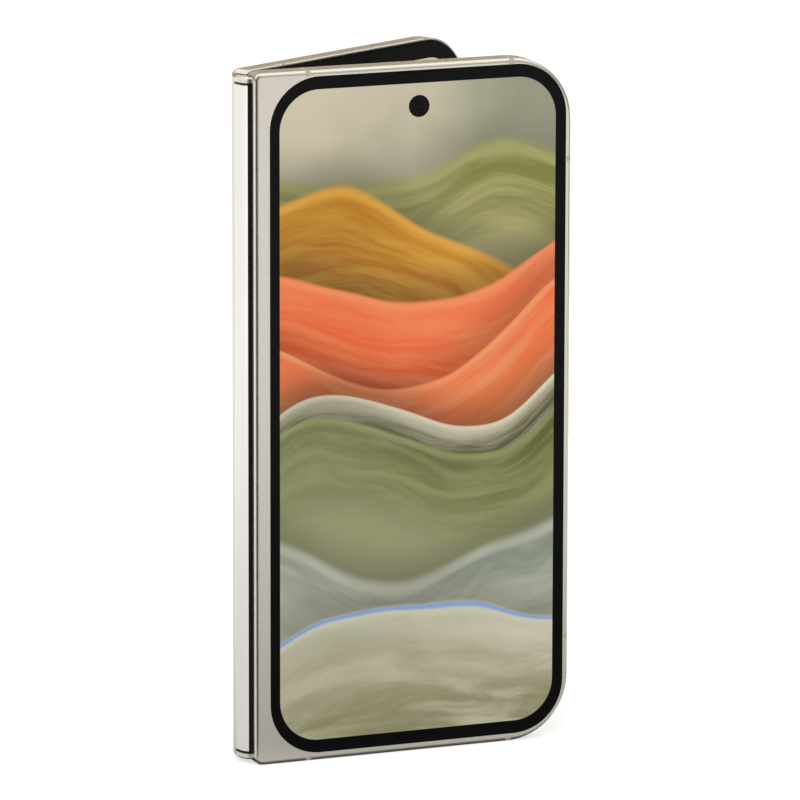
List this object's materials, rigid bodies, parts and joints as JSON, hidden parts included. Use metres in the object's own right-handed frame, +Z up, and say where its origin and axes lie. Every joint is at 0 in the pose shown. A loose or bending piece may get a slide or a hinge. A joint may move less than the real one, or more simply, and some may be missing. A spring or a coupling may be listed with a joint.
{
  "type": "foldable smartphone",
  "caption": "Book-style foldable phone with a geared hinge, cover display, folding inner display, raised camera island, side buttons and a card tray.",
  "frame": {"origin": "centre of the bottom edge face of the front half, the half with the cover display", "axes": "+Z up the phone's height, -Y out of the cover display, +X from the hinge towards the front half's far edge; the rear half is stored half opened behind it"},
  "size_m": [0.0779, 0.044, 0.155],
  "materials": {
    "frame_metal": "satin, bead-blasted and anodised porcelain",
    "polished_metal": "polished",
    "bright_steel": "brushed",
    "dark_steel": "dark, satin",
    "brass_parts": "machined",
    "cover_glass": "clear, gloss",
    "back_glass": "satin, opaque porcelain backing",
    "display_black": "black display stack",
    "folding_display": "gloss",
    "bezel_black": "matte",
    "seal_rubber": "matte",
    "module_black": "matte",
    "camera_black": "black, coated lens",
    "band_plastic": "satin",
    "battery_foil": "matte laminate",
    "circuit_board": "solder mask",
    "flex_ribbon": "polyimide",
    "coil_copper": "copper windings",
    "flash_lens": "frosted"
  },
  "bodies": {
    "spine": {"hinge_cover": "polished_metal", "hinge_seals": "seal_rubber", "hinge_end_caps": "frame_metal", "hinge_support_plate": "dark_steel", "hinge_brackets": "dark_steel", "friction_discs": "brass_parts", "hinge_flex": "flex_ribbon", "inner_display_fold": "folding_display"},
    "front_half": {"front_frame": "frame_metal", "cover_glass": "cover_glass", "cover_display": "display_black", "selfie_camera": "camera_black", "earpiece_slot": "bezel_black", "front_battery": "battery_foil", "sub_board": "circuit_board", "vibration_motor": "bright_steel", "bottom_speaker": "module_black", "earpiece_speaker": "module_black", "card_reader": "bright_steel", "front_support_plate": "dark_steel", "inner_display_front": "folding_display", "inner_bezel_front": "bezel_black", "front_antenna_bands": "band_plastic", "front_gear_arms": "bright_steel", "front_screws": "bright_steel", "front_magnets": "dark_steel", "power_switch": "bright_steel", "volume_switches": "bright_steel"},
    "rear_half": {"rear_frame": "frame_metal", "rear_glass": "back_glass", "camera_island": "frame_metal", "lens_window_upper": "cover_glass", "lens_window_lower": "cover_glass", "main_camera": "camera_black", "ultrawide_camera": "camera_black", "tele_camera": "camera_black", "camera_flash": "flash_lens", "inner_selfie_camera": "camera_black", "rear_battery": "battery_foil", "main_board": "circuit_board", "board_shields": "bright_steel", "charging_coil": "coil_copper", "usb_socket": "bright_steel", "rear_speaker": "module_black", "rear_support_plate": "dark_steel", "inner_display_rear": "folding_display", "inner_bezel_rear": "bezel_black", "rear_antenna_bands": "band_plastic", "rear_gear_arms": "bright_steel", "rear_screws": "bright_steel", "rear_magnets": "dark_steel"},
    "front_idler": {"front_idlers": "brass_parts"},
    "rear_idler": {"rear_idlers": "brass_parts"},
    "power_button": {"power_button": "frame_metal"},
    "volume_rocker": {"volume_rocker": "frame_metal"},
    "card_tray": {"card_tray": "frame_metal"}
  },
  "joints": [
    {"name": "front_fold", "type": "hinge", "parent": "spine", "child": "front_half", "pos_m": [-0.03695, 0.00205, 0.0776], "axis": [0, 0, 1], "range_deg": [-76.15, 13.85], "deforming": ["inner_display_fold"]},
    {"name": "rear_fold", "type": "hinge", "parent": "spine", "child": "rear_half", "pos_m": [-0.03726, 0.00331, 0.0776], "axis": [0, 0, 1], "range_deg": [-13.85, 76.15], "deforming": ["inner_display_fold"]},
    {"name": "front_idler_spin", "type": "hinge", "parent": "spine", "child": "front_idler", "pos_m": [-0.03834, 0.00171, 0.0776], "axis": [0, 0, 1], "range_deg": [-16.63, 91.39]},
    {"name": "rear_idler_spin", "type": "hinge", "parent": "spine", "child": "rear_idler", "pos_m": [-0.03865, 0.00297, 0.0776], "axis": [0, 0, 1], "range_deg": [-91.39, 16.63]},
    {"name": "power_press", "type": "slide", "parent": "front_half", "child": "power_button", "axis": [-1, 0, 0], "range_m": [0, 0.00025], "stiffness_N_per_m": 2000, "springref_m": -0.0002},
    {"name": "volume_rock", "type": "hinge", "parent": "front_half", "child": "volume_rocker", "pos_m": [0.0369, 0.0002, 0.0794], "axis": [0, 1, 0], "range_deg": [-1, 1], "stiffness_Nm_per_rad": 0.3},
    {"name": "card_tray_slide", "type": "slide", "parent": "front_half", "child": "card_tray", "axis": [0, 0, -1], "range_m": [0, 0.025]}
  ],
  "couplings": [
    {"joint": "rear_fold", "follows": "front_fold", "ratio": -1},
    {"joint": "front_idler_spin", "follows": "front_fold", "ratio": -1.2},
    {"joint": "rear_idler_spin", "follows": "front_fold", "ratio": 1.2}
  ]
}
